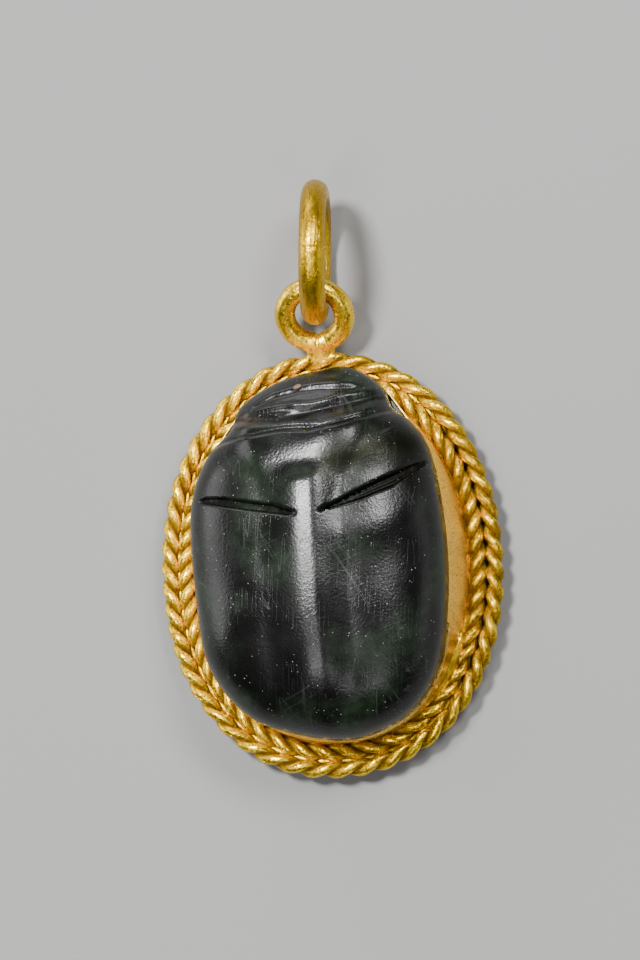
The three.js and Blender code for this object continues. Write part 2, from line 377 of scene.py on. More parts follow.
# %% [markdown]
# ## The lines of the carving
# The carver drew these lines on the stone before cutting: the keel between the wing cases, the two
# lips of each long cut, the shoulder, the roll and groove of the neck, the brow, and a crease in
# front. They are not mirror images, because a hand-cut beetle never is.

# %% The carver's lines
KEEL = [(-8, -0.45), (-7.5, -0.42), (-6.1, -0.13), (-3.3, -0.04), (1.05, 0.27), (4, 0.51), (9, 0.6)]
LEFT_LOWER = [(-5.23, 3.28), (-3.81, 2.74), (-2.21, 2.24), (-0.6, 1.79), (-0.09, 1.8)]
LEFT_UPPER = [(-5.23, 3.5), (-4.83, 3.56), (-3.75, 3.35), (-2.6, 2.96), (-1.23, 2.57), (-0.18, 1.97)]
RIGHT_LOWER = [(1.01, 1.81), (3.12, 2.12), (4.65, 2.55), (6.2, 3.6)]
RIGHT_UPPER = [(1.02, 1.9), (2.67, 2.64), (4.49, 3.33), (6.15, 3.95)]
SHOULDER_EDGE = [
    (-4.6, 5.9), (-3.71, 6.08), (-2.22, 6.13), (-0.46, 6.13), (0.93, 5.94), (2.4, 6.07), (3.65, 6.23),
    (5.2, 6.6),
]
NECK_ROLL = [
    (-3.4, 6.8), (-2.86, 6.73), (-1.58, 6.58), (0.44, 6.42), (1.46, 6.2), (2.71, 6.42), (4.4, 6.8),
]
NECK_GROOVE = [
    (-3.6, 7.4), (-3.07, 7.25), (-1.86, 6.99), (-0.74, 6.8), (0.86, 6.92), (2.39, 7.04), (4.6, 7.3),
]
BROW_RIDGE = [
    (-2.5, 7.49), (-1.2, 7.5), (0.16, 7.46), (1.14, 7.38), (1.76, 7.43), (2.92, 7.6), (4.3, 7.75),
]
FRONT_CREASE = [
    (-2.2, 7.6), (-1.62, 7.86), (-0.92, 8.08), (0.29, 8.2), (1.33, 8.16), (2.69, 8.0), (3.4, 7.9),
]
BROW_KNOB = (0.16, 7.44)  # the brow's highest place
CHIP = (0.29, 8.39)  # a small bruise on the forehead
print("the keel runs from", KEEL[0], "to", KEEL[-1])

# %% [markdown]
# ## Carving the back
# One function gives the height at any place. It starts from a dome, lower over the head. The wing
# cases fall away from the keel, more on the right, with a soft swelling under the right-hand cut,
# and the collar is raised. Then the cuts are taken off and the head's narrow ridges added, fading
# out towards the rim. Sculpting with a brush could do this too, but a function can be measured.

# %% Carve the back
DOME_HEIGHT = 3.4
KEEL_HEIGHT = 0.26
LEFT_FLANK_DROP = 0.34
RIGHT_FLANK_DROP = 0.46
LEFT_CUT_DEPTH = 0.32
RIGHT_CUT_DEPTH = 0.45


def carve(x, y, share, direction):
    """The stone's height, how much of it was cut away, and where it is chipped. The share is how
    far out the place is, from the middle (0) to the rim (1)."""
    drawn_out = share * (1 - 0.3 * np.sin(direction) ** 2 * (1 - share ** 2))
    dome = np.sqrt(np.clip(1 - drawn_out ** 2.1, 0, 1))
    above_edge, _ = off_line(x, y, SHOULDER_EDGE)
    head = 1 - 0.13 * smooth_step(above_edge, -0.12, 0.2) - 0.12 * smooth_step(above_edge, 0.3, 1.1)
    wings = smooth_step(y, -9.0, -5.5) * (1 - smooth_step(y, 3.4, 4.7))
    off_keel = x - np.interp(y, *np.array(KEEL).T)
    left_flank = LEFT_FLANK_DROP * smooth_step(-off_keel, 0.25, 2.5)
    right_flank = RIGHT_FLANK_DROP * smooth_step(off_keel, 0.2, 1.9)
    keel = KEEL_HEIGHT - left_flank - right_flank
    along_cut, _ = off_line(x, y, RIGHT_LOWER)
    swelling = 0.17 * bell(along_cut + 1.5, 1.1) * smooth_step(off_keel, 0.6, 1.6)
    off_collar = y - 5.25 - 0.15 * x
    collar_width = np.where(off_collar > 0, 0.55, 1.0)
    collar = (0.12 * smooth_step(x, -1.0, 2.4) + 0.02) * bell(off_collar, collar_width)
    collar = collar - 0.04 * bell(y - 4.2, 0.7)
    height = GIRDLE_HEIGHT + dome * (DOME_HEIGHT * head + wings * (keel + swelling) + collar)

    cut = lens_cut(x, y, LEFT_LOWER, LEFT_UPPER, LEFT_CUT_DEPTH)
    cut += lens_cut(x, y, RIGHT_LOWER, RIGHT_UPPER, RIGHT_CUT_DEPTH)
    above, inside = off_line(x, y, NECK_GROOVE)
    cut += 0.15 * inside * bell(above, 0.17)
    cut += 0.07 * bell(above_edge - 0.12, 0.12)
    above, inside = off_line(x, y, FRONT_CREASE)
    crease = 0.08 * inside * bell(above + 0.12, 0.15)
    raised = 0.12 * inside * bell(above - 0.22, 0.2)
    for line, ridge, width in ((BROW_RIDGE, 0.14, 0.18), (NECK_ROLL, 0.11, 0.16)):
        above, inside = off_line(x, y, line)
        raised += ridge * inside * bell(above, width)
    raised += 0.07 * bell(np.hypot((x - BROW_KNOB[0]) / 1.5, y - BROW_KNOB[1]), 0.22)
    chip = bell(np.hypot((x - CHIP[0]) / 1.7, y - CHIP[1] - 0.2 * (x - CHIP[0])), 0.17)
    return height - (cut + crease + 0.06 * chip - raised) * dome ** 0.5, cut + crease, chip


print("a dome of", DOME_HEIGHT, "mm over the girdle, with a keel of", KEEL_HEIGHT)

# %% [markdown]
# A square sheet becomes a round one when each of its two directions is drawn in by the square of the
# other. Its rows are then packed closer near the rim, where the back is steep, and stretched to the
# beetle's outline. Now each point has a place, and carve gives its height.

# %% Press the sheet to the outline
side_x, side_y = sheet[:, 0], sheet[:, 1]
disc_x = side_x * np.sqrt(1 - side_y ** 2 / 2)
disc_y = side_y * np.sqrt(1 - side_x ** 2 / 2)
direction = np.arctan2(disc_y, disc_x)
RIM_CROWDING = 0.9  # of a quarter turn: packs the sheet's rows closer near the steep rim
share = np.sin(np.hypot(disc_x, disc_y) * RIM_CROWDING * np.pi / 2) / math.sin(RIM_CROWDING * np.pi / 2)
share = np.where(ring == 0, np.clip(share, 0, 1), 1)
reach = look_up(back_table, direction) * share
mount_x, mount_y = reach * np.cos(direction), reach * np.sin(direction)
stone_x, stone_y = turned(mount_x, mount_y, -STONE_TURN)
height, cut, chip = carve(stone_x, stone_y, share, direction)
print("the back rises to", round(height.max(), 2), "mm, and the deepest cut takes", round(cut.max(), 2))

# %% [markdown]
# ## The sides and the underside
# The rings pulled out of the sheet's rim are lowered in turn: two for the undercut below the girdle,
# one for the top of the plinth, then the wall, and last the flat underside, where two rings are sunk
# to make a cut line. The underside of a real scarab usually carries signs. This one stays plain.

# %% Lower the rings to make the sides and the underside
PLINTH_RING = len(UNDERCUT_HEIGHTS) + 1
ring_radius = reach.copy()
for step, level_height in enumerate(UNDERCUT_HEIGHTS):
    height[ring == 1 + step] = level_height
here = ring == PLINTH_RING
height[here] = PLINTH_HEIGHT - 0.04
ring_radius[here] = wall_radius(direction[here], PLINTH_HEIGHT)
for step, level_height in enumerate(WALL_HEIGHTS):
    here = ring == PLINTH_RING + 1 + step
    height[here] = level_height
    ring_radius[here] = wall_radius(direction[here], level_height)
for step, (inward, level_height) in enumerate(UNDERSIDE_RINGS):
    here = ring == PLINTH_RING + 1 + len(WALL_HEIGHTS) + step
    height[here] = level_height
    ring_radius[here] = wall_radius(direction[here], 0) * inward
around_x, around_y = ring_radius * np.cos(direction), ring_radius * np.sin(direction)
place_points(scarab, np.column_stack([around_x, around_y, height]))
print("underside", round(2 * around_y[ring == rings].max(), 2), "mm long inside its cut line")

# %% [markdown]
# ## What the finish needs to know
# Four numbers are kept at each point of the stone for its finish to read: how much a tool cut away,
# where it is chipped, where dirt is packed behind the head, and where an olive vein above the
# right-hand cut is dulled, its colour the stone's own and its darkness painted shade.

# %% Mark the stone
store(scarab, "cut", np.where(ring == 0, cut, 0))
store(scarab, "chip", np.where(ring == 0, chip, 0))
groove_above, groove_inside = off_line(stone_x, stone_y, NECK_GROOVE)
packed = bell(groove_above + 0.1, 0.28) * groove_inside * smooth_step(-stone_x, 1.0, 3.2)
store(scarab, "packed_dirt", np.where(ring == 0, packed, 0))
# An olive vein above the right-hand cut: real colour, dulled in the finish as painted shade.
olive_vein_and_shade = bell(stone_y - 4.0 - 0.15 * stone_x, 0.85) * smooth_step(stone_x, 0.6, 1.8)
store(scarab, "olive_vein_and_shade", np.where(ring == 0, olive_vein_and_shade, 0))
clean_up(scarab, 60)

# %% [markdown]
# ## The bezel
# The bezel is a strip of gold sheet bent round the stone on edge. Its top is burnished thin and
# rubbed in against the stone. Its ends overlap on the beetle's right hip, where the join shows as a
# low step with solder below it. It could be a tube given a thickness, but its wall tapers, so it is
# a closed ring with a tall thin section: each point of the section has an offset from the stone's
# wall and a height, both as shares, with more points on the face that shows.

# %% Bezel
INNER_FACE = (0, 0.1, 0.2, 0.3, 0.45, 0.6, 0.75, 0.9)
OUTER_FACE = (0.96, 0.93, 0.9, 0.86, 0.8, 0.74, 0.68, 0.62, 0.56, 0.5, 0.45, 0.4, 0.35, 0.3, 0.2, 0.1, 0)
TOP_EDGE = [(0.04, 0.98), (0.25, 1), (0.75, 1), (0.96, 0.985)]
SECTION = [(0, up) for up in INNER_FACE] + TOP_EDGE + [(1, up) for up in OUTER_FACE] + [(0.5, 0)]
LAP_DIRECTION = math.radians(-32)
LAP_STEP = 0.12
RUBBED_PAST = 1.9  # above 1, the strip's top bites into the stone's edge and leaves no gap


def lap_share(direction, height):
    """1 on the overlapping end of the strip, falling away with distance past its cut edge."""
    past = (LAP_DIRECTION + 0.03 * (height - 3) - direction + np.pi) % (2 * np.pi) - np.pi
    return smooth_step(past, 0, 0.012) * (1 - smooth_step(past, 0.5, 1.1))


def place_bezel(u, v):
    """The strip, with a wavy rim, shallow dents, and one end lying over the other."""
    direction = 2 * np.pi * u
    offset, up = np.array(SECTION).T[:, np.round(v * len(SECTION)).astype(int) % len(SECTION)]
    height = up * (BEZEL_HEIGHT + 0.03 * (ripple(u, 3, 1) - 1) * (up > 0.9))
    thickness = BEZEL_THICKNESS + (BEZEL_RIM - BEZEL_THICKNESS) * smooth_step(up, 0.3, 1)
    dents = ripple(u + 0.07 * up, 5, 0.03, (3, 24)) * up * (offset > 0.5)
    rubbed_in = BEZEL_TO_STONE * (1 - RUBBED_PAST * smooth_step(up, 0.5, 1))
    outward = rubbed_in + offset * (thickness + LAP_STEP * lap_share(direction, height)) + dents * 0.6
    radius = wall_radius(direction, height) + outward
    return np.column_stack([radius * np.cos(direction), radius * np.sin(direction), height])


bezel = closed_ring("bezel_strip", 900, len(SECTION), place_bezel)
bezel_direction = np.arctan2(*(points_of(bezel)[:, :2] / MM - mount_centre[:2]).T[::-1])
store(bezel, "lap", lap_share(bezel_direction, points_of(bezel)[:, 2] / MM))
# A thin band along the lap's cut edge, for a painted highlight in the finish.
store(bezel, "lap_edge_highlight", bell(bezel_direction - LAP_DIRECTION + 0.004, 0.011))
clean_up(bezel, 40)

# %% [markdown]
# ## The twisted wires
# Each wire is two strands twisted together. There are 51 half turns in the round, an odd number, so
# one strand that runs round twice comes back to its own start: the whole twist is a single closed
# tube. The inner wire twists to the right and the outer one to the left, which makes the chevrons.
# A curve with a bevel could carry such a strand, but a placed grid lets its thickness change from
# bead to bead, as it does in wire that was drawn and twisted by hand.

# %% Wire helpers
HALF_TURNS = 51
STRAND_RADIUS = 0.262
STRAND_OFFSET = 0.188


def oval_point(inset, u):
    """The place a share of the way round an oval of the mount."""
    direction = 2 * np.pi * u
    radius = mount_radius(direction, inset)
    return np.column_stack([radius * np.cos(direction), radius * np.sin(direction)])


def oval_frame(inset, u):
    """A place on an oval, and the level direction that points out of it."""
    step = 1e-4
    place = oval_point(inset, u)
    ahead = oval_point(inset, u + step) - oval_point(inset, u - step)
    ahead /= np.linalg.norm(ahead, axis=1)[:, None]
    return place, np.column_stack([ahead[:, 1], -ahead[:, 0]])


def strand_centre(s, inset, hand, seed):
    """The middle of the strand after a share of its two rounds. The hand is 1 or -1."""
    u = 2 * s
    place, outward = oval_frame(inset, u)
    phase = hand * (np.pi * HALF_TURNS * u + ripple(u % 1, seed, 0.5, (2, 14)))
    offset = STRAND_OFFSET * (1 + ripple(u % 1, seed + 1, 0.03))
    level = place + outward * (offset * np.cos(phase))[:, None]
    level += outward * ripple(u % 1, seed + 2, 0.03, (3, 12))[:, None]
    return np.column_stack([level, ROPE_HEIGHT - offset * np.sin(phase)])


around_mount = np.diff(oval_point(ROPE_RADIUS, np.linspace(0, 1, 721)), axis=0)
twist_length = 2 * np.linalg.norm(around_mount, axis=1).sum() / HALF_TURNS
print("one full twist of the outer wire takes", round(twist_length, 2), "mm")

# %% [markdown]
# The tube follows that middle line. At each place one direction is level and another points up, both
# square to the line, and the section's points go round in the plane of the two.

# %% Twisted wires
def twisted_wire(name, inset, hand, seed):
    """A closed tube round the strand's middle line, a little thicker here and thinner there."""
    def place(s, side):
        step = 1e-5
        centre = strand_centre(s, inset, hand, seed)
        along = strand_centre(s + step, inset, hand, seed) - strand_centre(s - step, inset, hand, seed)
        along /= np.linalg.norm(along, axis=1)[:, None]
        across = np.cross(along, np.array([0, 0, 1.0]))
        across /= np.linalg.norm(across, axis=1)[:, None]
        upward = np.cross(across, along)
        swing = 2 * np.pi * side
        slow = ripple(s, seed + 3, 0.05, (30, 90))
        quick = ripple(s + 0.004 * np.sin(swing), seed + 4, 0.05, (150, 420))
        radius = STRAND_RADIUS * (1 + (slow + quick))
        sideways, up = radius * np.cos(swing), radius * np.sin(swing)
        return centre + across * sideways[:, None] + upward * up[:, None]

    return closed_ring(name, 1530, 16, place, drawn_lines(2.2, 150))


SOLDERED_CLOSER = 0.02  # the flame drew the two wires together by this much
OUTER_INSET = ROPE_RADIUS + SOLDERED_CLOSER
INNER_INSET = 3 * ROPE_RADIUS + ROPE_GAP - SOLDERED_CLOSER
inner_wire = twisted_wire("inner_wire", INNER_INSET, 1, 11)
outer_wire = twisted_wire("outer_wire", OUTER_INSET, -1, 23)
print("each strand has", len(outer_wire.data.vertices), "points and", HALF_TURNS, "half turns")

# %% [markdown]
# ## Solder
# Solder ran along the valley between the two wires, and along the inner wire's foot against the
# bezel. It filled them on most of the mount, starved on the right side, where dark gaps stay open,
# and flooded over the inner wire below the bezel's lap. Each bed is one more closed ring with an
# uneven top, joined into the wire beside it.

# %% Solder beds
FLOODED_AT = 0.872  # a share of the way round, just below the bezel's lap


def solder_bed(name, inset, half_width, low, high, seed, starved=0.0, flooded=0.0):
    """A ridge of solder in the valley beside a wire, from a low to a high level. It can be starved
    on the mount's right side, and flooded below the bezel's join."""
    def place(u, v):
        right_side = smooth_step(np.cos(2 * np.pi * u), 0.6, 0.85)
        below_join = bell((u - FLOODED_AT + 0.5) % 1 - 0.5, 0.042)
        top = high + ripple(u, seed, 0.12, (20, 140)) - starved * right_side + flooded * below_join
        width = half_width * (1 + ripple(u, seed + 1, 0.1, (15, 70)))
        width = width * (1 - 0.6 * starved * right_side)
        width += 0.28 * flooded * below_join
        middle, outward = oval_frame(inset, u)
        swing = 2 * np.pi * v
        level = middle + outward * (width * np.cos(swing))[:, None]
        height = (top + low) / 2 + (top - low) / 2 * np.sin(swing)
        return np.column_stack([level, height])

    return closed_ring(name, 900, 12, place)


def melt_into(piece, *others):
    """Joins other pieces into the first."""
    start_clean()
    for part in (piece, *others):
        part.select_set(True)
    bpy.context.view_layer.objects.active = piece
    bpy.ops.object.join()


VALLEY_INSET = (OUTER_INSET + INNER_INSET) / 2
FOOT_OF_WIRE_INSET = INNER_INSET + ROPE_RADIUS
between_wires = solder_bed("between_wires", VALLEY_INSET, 0.3, 0.3, 1.22, 51, starved=0.7)
beside_bezel = solder_bed("beside_bezel", FOOT_OF_WIRE_INSET, 0.2, 0.4, 1.42, 61, flooded=0.9)
melt_into(outer_wire, between_wires)
melt_into(inner_wire, beside_bezel)
print("with its solder the outer wire has", len(outer_wire.data.vertices), "points")

# %% [markdown]
# ## Where grime and painted shade gather
# The creases between the strands and the low valleys are darkened, partly as grime and partly as
# painted shade, and the beetle's right side is darkened more, as grime and as painted shadow of the
# tall stone. Two numbers at each point say so: how deep in a hollow it lies, and how soiled and
# shaded that side of the mount is.

# %% Mark the hollows
def mark_hollows(piece, inset):
    """Stores how deep in a hollow each point lies, and how soiled and shaded that side of the mount is.
    """
    points = points_of(piece) / MM - [mount_centre[0], mount_centre[1], 0]
    direction = np.arctan2(points[:, 1], points[:, 0])
    off_axis = np.hypot(points[:, 0], points[:, 1]) - mount_radius(direction, inset)
    from_axis = np.hypot(off_axis, points[:, 2] - ROPE_HEIGHT)
    # Creases and low places get grime and painted shade in the finish.
    in_crease = 1 - smooth_step(from_axis, 0.26, 0.41)
    low_down = 1 - smooth_step(points[:, 2], 1.05, 1.5)
    store(piece, "hollow", np.maximum(in_crease, low_down))
    # The beetle's right side is darker: grime, and painted shadow of the tall stone.
    right_side = smooth_step(np.cos(direction - math.radians(-2)), 0.45, 0.95)
    store(piece, "soil_and_shade", 0.08 + 0.92 * right_side)


for wire, inset in ((inner_wire, INNER_INSET), (outer_wire, OUTER_INSET)):
    mark_hollows(wire, inset)
    clean_up(wire, 60)

# %% [markdown]
# ## The eyelet
# The eyelet is a short length of round wire bent until its ends meet, soldered by its foot to the
# outer wire and raked up so that a ring can pass through it. The solder is three uneven lumps. A
# voxel remesh melts wire and lumps into one skin, as the flame did, and a smooth modifier rounds the
# steps that the voxels leave.

# %% Eyelet
EYELET_CENTRE = np.array([0.1, 12.4, 2.6])
EYELET_RADIUS = 1.5
EYELET_WIRE = 0.52
EYELET_RAKE = math.radians(32)
EYELET_JOIN = 0.747  # where its ends meet, as a share of the way round from the right


def place_eyelet(u, v):
    """The bent wire, with a notch where its ends meet and a flat filed beside it."""
    around, section = 2 * np.pi * u, 2 * np.pi * v
    notch = 0.3 * bell(u - EYELET_JOIN, 0.008) * smooth_step(-np.cos(section), -0.3, 0.8)
    facet = 0.1 * bell(u - EYELET_JOIN - 0.05, 0.03) * smooth_step(np.sin(section), 0.2, 0.9)
    wire = EYELET_WIRE * (1 + ripple(u, 31, 0.03) + ripple(v, 32, 0.02) - notch - facet)
    flat = EYELET_RADIUS + wire * np.cos(section)
    x, y, z = flat * np.cos(around), flat * np.sin(around), wire * np.sin(section)
    raked_y = y * math.cos(EYELET_RAKE) - z * math.sin(EYELET_RAKE)
    raked_z = y * math.sin(EYELET_RAKE) + z * math.cos(EYELET_RAKE)
    return EYELET_CENTRE + np.column_stack([x, raked_y, raked_z])


def solder_lump(name, centre, half_sizes, seed):
    """A ball squashed to its half sizes and made uneven."""
    start_clean()
    bpy.ops.mesh.primitive_uv_sphere_add(segments=48, ring_count=24, radius=1)
    lump = bpy.context.active_object
    lump.name = name
    points = points_of(lump)
    round_it = np.arctan2(points[:, 1], points[:, 0]) / (2 * np.pi)
    uneven = 1 + ripple(round_it, seed, 0.06)[:, None]
    place_points(lump, np.array(centre) + points * uneven * half_sizes)
    return lump


wire_top_y = mount_radius(np.pi / 2, OUTER_INSET)
eyelet = closed_ring("suspension_eyelet", 240, 48, place_eyelet)
melt_into(eyelet,
          solder_lump("neck", (0.1, wire_top_y + 0.5, 1.5), (0.72, 0.5, 0.45), 71),
          solder_lump("foot", (0.12, wire_top_y + 0.12, 1.5), (0.85, 0.3, 0.3), 72),
          solder_lump("bead", (-0.42, wire_top_y + 0.72, 1.72), (0.36, 0.3, 0.34), 73))
VOXEL = 0.045
remesh = eyelet.modifiers.new("melt", "REMESH")
remesh.mode = "VOXEL"
remesh.voxel_size = VOXEL * MM
soften = eyelet.modifiers.new("soften", "SMOOTH")
soften.iterations = 5
start_clean()
bpy.context.view_layer.objects.active = eyelet
for modifier in ("melt", "soften"):
    bpy.ops.object.modifier_apply(modifier=modifier)
clean_up(eyelet, 80)

# %% [markdown]
# ## The ring
# The ring is thicker wire, closed by hand, its ends pressed together but not quite level. The real
# amulet hangs from it. Here it stands in the eyelet, leaning a little, and rests on the ground. Its
# place and size are read from the frame. A torus would do for a perfect ring, and the closed ring
# helper adds the step at its join and a small nick.

# %% Jump ring
ring_low, ring_high = box_mm("jump_ring")
RING_WIRE = 0.65
RING_CENTRE = (ring_low + ring_high) / 2 - [mount_centre[0], mount_centre[1], 0]
RING_RADIUS = (ring_high - ring_low)[1] / 2 - RING_WIRE
RING_LEAN = math.radians(8)
RING_SWING = math.radians(-4)
RING_JOIN = 0.797  # where its ends meet, near the ground


def place_jump_ring(u, v):
    """The ring lying flat, then stood up, leaned and swung."""
    around, section = 2 * np.pi * u, 2 * np.pi * v
    nick = 0.05 * bell(u - 0.262, 0.003) * smooth_step(np.cos(section - 0.5), 0.2, 0.8)
    wire = RING_WIRE * (1 + ripple(u, 41, 0.012) + ripple(v, 42, 0.01) - nick)
    step = 0.09 * smooth_step(u, RING_JOIN - 0.0015, RING_JOIN)
    step = step * (1 - smooth_step(u, RING_JOIN, RING_JOIN + 0.08))
    flat = RING_RADIUS - step + wire * np.cos(section)
    level, up, off = flat * np.cos(around), flat * np.sin(around), wire * np.sin(section)
    lean_x = up * math.sin(RING_LEAN) + off * math.cos(RING_LEAN)
    lean_z = up * math.cos(RING_LEAN) - off * math.sin(RING_LEAN)
    swung_x, swung_y = turned(lean_x, level, RING_SWING)
    return RING_CENTRE + np.column_stack([swung_x, swung_y, lean_z])


jump_ring = closed_ring("hanging_ring", 400, 64, place_jump_ring, drawn_lines(6.0, 14))
clean_up(jump_ring)

# %% [markdown]
# ## Working with nodes
# A finish is a tree of nodes. Adding them by hand is clicking and dragging, and these helpers do the
# same in one line each. All patterns read Object coordinates, in metres, so a noise scale of 1000
# has a grain of about 1 mm.

# %% Node helpers
def new_group(name, inputs, outputs):
    """A node group with named sockets. A default of three numbers makes a vector socket."""
    group = bpy.data.node_groups.new(name, "ShaderNodeTree")
    for title, default in inputs:
        kind = "NodeSocketVector" if isinstance(default, tuple) else "NodeSocketFloat"
        socket = group.interface.new_socket(title, in_out="INPUT", socket_type=kind)
        socket.default_value = default
    for title in outputs:
        group.interface.new_socket(title, in_out="OUTPUT", socket_type="NodeSocketFloat")
    return group


def add_node(tree, kind, links=None, **settings):
    """A node with its settings, and its inputs linked or given values by name or number."""
    node = tree.nodes.new(kind)
    for key, value in settings.items():
        setattr(node, key, value)
    for key, value in (links or {}).items():
        if isinstance(value, bpy.types.NodeSocket):
            tree.links.new(value, node.inputs[key])
        else:
            node.inputs[key].default_value = value
    return node


def ramp(tree, value, low, high, to_low=0.0, to_high=1.0):
    """A soft rise from one value to another as the input goes from low to high."""
    return add_node(tree, "ShaderNodeMapRange", {0: value, 1: low, 2: high, 3: to_low, 4: to_high},
                    interpolation_type="SMOOTHSTEP").outputs[0]


def maths(tree, operation, a, b=0.0):
    return add_node(tree, "ShaderNodeMath", {0: a, 1: b}, operation=operation).outputs[0]


def plus(tree, a, b):
    return maths(tree, "ADD", a, b)


def times(tree, a, b):
    return maths(tree, "MULTIPLY", a, b)


def blend_colour(tree, factor, a, b):
    """Colour a where the factor is 0, b where it is 1."""
    return add_node(tree, "ShaderNodeMix", {0: factor, 6: a, 7: b}, data_type="RGBA").outputs[2]


def noise(tree, place, scale, detail=4.0, roughness=0.55):
    return add_node(tree, "ShaderNodeTexNoise", {"Vector": place, "Scale": scale, "Detail": detail,
                                                 "Roughness": roughness}).outputs[0]


def kept(tree, name, output="Fac"):
    """What was stored on the points of the mesh under a name."""
    return add_node(tree, "ShaderNodeAttribute", attribute_name=name).outputs[output]


print("helpers for nodes: new_group, add_node, ramp, maths, plus, times, blend_colour, noise, kept")

# %% [markdown]
# ## Shared effects
# Stone and gold both carry hairline scratches and small pits, so each effect is a node group with
# named sockets, built once. A scratch is the thin line where stretched noise crosses its middle
# value, kept only in patches, since rubbing wears one place more than another. A pit is the middle
# of a Voronoi cell, and here too a slow noise makes some areas more pitted.

# %% Shared effects
def scratch_group():
    """Hairlines, turned by an angle. The share says how much of the surface they cover."""
    inputs = [("Place", (0.0, 0.0, 0.0)), ("Turn", 0.0), ("Scale", 1000.0), ("Share", 0.5)]
    group = new_group("hairline_scratches", inputs, ["Scratches"])
    start, end = add_node(group, "NodeGroupInput"), add_node(group, "NodeGroupOutput")
    turn = add_node(group, "ShaderNodeCombineXYZ", {2: start.outputs["Turn"]}).outputs[0]
    spun = add_node(group, "ShaderNodeVectorRotate",
                    {"Vector": start.outputs["Place"], "Rotation": turn},
                    rotation_type="EULER_XYZ").outputs[0]
    stretched = add_node(group, "ShaderNodeVectorMath", {0: spun, 1: (1, 0.035, 0.06)},
                         operation="MULTIPLY").outputs[0]
    level = noise(group, stretched, start.outputs["Scale"], 0.0)
    off_level = maths(group, "ABSOLUTE", maths(group, "SUBTRACT", level, 0.5))
    line = maths(group, "SUBTRACT", 1.0, ramp(group, off_level, 0.0, 0.014))
    patch = noise(group, start.outputs["Place"], 420.0, 1.5)
    there = maths(group, "GREATER_THAN", start.outputs["Share"], patch)
    group.links.new(times(group, line, there), end.inputs["Scratches"])
    return group


def pit_group():
    """Small pits. The share is how far each reaches from the middle of its cell."""
    inputs = [("Place", (0.0, 0.0, 0.0)), ("Scale", 4000.0), ("Share", 0.15)]
    group = new_group("small_pits", inputs, ["Pits"])
    start, end = add_node(group, "NodeGroupInput"), add_node(group, "NodeGroupOutput")
    cells = add_node(group, "ShaderNodeTexVoronoi", {"Vector": start.outputs["Place"],
                                                     "Scale": start.outputs["Scale"]})
    patch = noise(group, start.outputs["Place"], 900.0, 2.0)
    reach = times(group, start.outputs["Share"], ramp(group, patch, 0.35, 0.65, 0.4, 1.6))
    near = maths(group, "LESS_THAN", cells.outputs["Distance"], reach)
    group.links.new(near, end.inputs["Pits"])
    return group


SCRATCHES, PITS = scratch_group(), pit_group()
print("shared effects:", SCRATCHES.name, "and", PITS.name)

# %% [markdown]
# ## Starting a finish
# Each material begins with its Principled shader and Object coordinates. A shared effect is placed
# with its own values, and a bump is added last, its distance given in millimetres.

# %% Material helpers
def use(tree, group, **inputs):
    """A shared effect, placed in a material with its own values."""
    return add_node(tree, "ShaderNodeGroup", inputs, node_tree=group).outputs[0]


def new_material(name):
    """A material, its node tree, its Principled shader and its Object coordinates."""
    material = bpy.data.materials.new(name)
    material.use_nodes = True
    tree = material.node_tree
    place = add_node(tree, "ShaderNodeTexCoord").outputs["Object"]
    return material, tree, tree.nodes["Principled BSDF"], place


def dress(piece, material):
    """Gives a piece one material."""
    piece.data.materials.clear()
    piece.data.materials.append(material)


def add_bump(tree, shader, height, distance_mm):
    """A relief of so many millimetres from a height that runs from 0 to 1."""
    bump = add_node(tree, "ShaderNodeBump", {"Height": height, "Strength": 1.0,
                                             "Distance": distance_mm * MM})
    tree.links.new(bump.outputs[0], shader.inputs["Normal"])


print("helpers for materials: use, new_material, dress, add_bump")

# %% [markdown]
# ## The stone's colour
# The stone looks black until light catches it, and then it is a mottled deep green. Two noises make
# the mottle, a slow one for clouds and a quick one for grain. Tool cuts hold brown dust, the groove
# behind the head holds packed dirt, the chip shows a tan inside, and a vein is olive. Fine pale
# scratches run mostly lengthwise, with some across, and dust specks are scattered over all of it.

# %% Green stone: colour
stone_finish, tree, shader, place = new_material("polished_green_stone")
mottle = noise(tree, place, 260.0, 6.0, 0.62)
fleck = noise(tree, place, 2200.0, 5.0, 0.7)
green = times(tree, ramp(tree, mottle, 0.46, 0.68), ramp(tree, fleck, 0.35, 0.65, 0.35, 1.0))
colour = blend_colour(tree, green, (0.001, 0.0012, 0.0009, 1), (0.009, 0.0175, 0.008, 1))
cut_away = ramp(tree, kept(tree, "cut"), 0.04, 0.2)
dust = times(tree, cut_away, ramp(tree, fleck, 0.5, 0.7))
colour = blend_colour(tree, times(tree, dust, 0.8), colour, (0.028, 0.018, 0.01, 1))
packed = times(tree, kept(tree, "packed_dirt"), ramp(tree, fleck, 0.35, 0.6))
colour = blend_colour(tree, packed, colour, (0.06, 0.036, 0.019, 1))
ragged = times(tree, kept(tree, "chip"), plus(tree, fleck, 0.4))
chipped = ramp(tree, ragged, 0.48, 0.62)
colour = blend_colour(tree, chipped, colour, (0.11, 0.07, 0.03, 1))
matte = times(tree, kept(tree, "olive_vein_and_shade"), ramp(tree, fleck, 0.2, 0.6, 0.55, 1.0))
colour = blend_colour(tree, times(tree, matte, 0.7), colour, (0.009, 0.0095, 0.004, 1))
lengthwise = use(tree, SCRATCHES, Place=place, Turn=0.1, Scale=4600.0, Share=0.52)
slanting = use(tree, SCRATCHES, Place=place, Turn=-0.5, Scale=3000.0, Share=0.42)
crossing = use(tree, SCRATCHES, Place=place, Turn=1.2, Scale=2600.0, Share=0.4)
scratches = maths(tree, "MAXIMUM", lengthwise, maths(tree, "MAXIMUM", slanting, crossing))
specks = use(tree, PITS, Place=place, Scale=4200.0, Share=0.07)
colour = blend_colour(tree, times(tree, scratches, 0.22), colour, (0.05, 0.053, 0.05, 1))
colour = blend_colour(tree, times(tree, specks, 0.6), colour, (0.35, 0.34, 0.33, 1))
tree.links.new(colour, shader.inputs["Base Color"])
print("stone colour has", len(tree.nodes), "nodes")
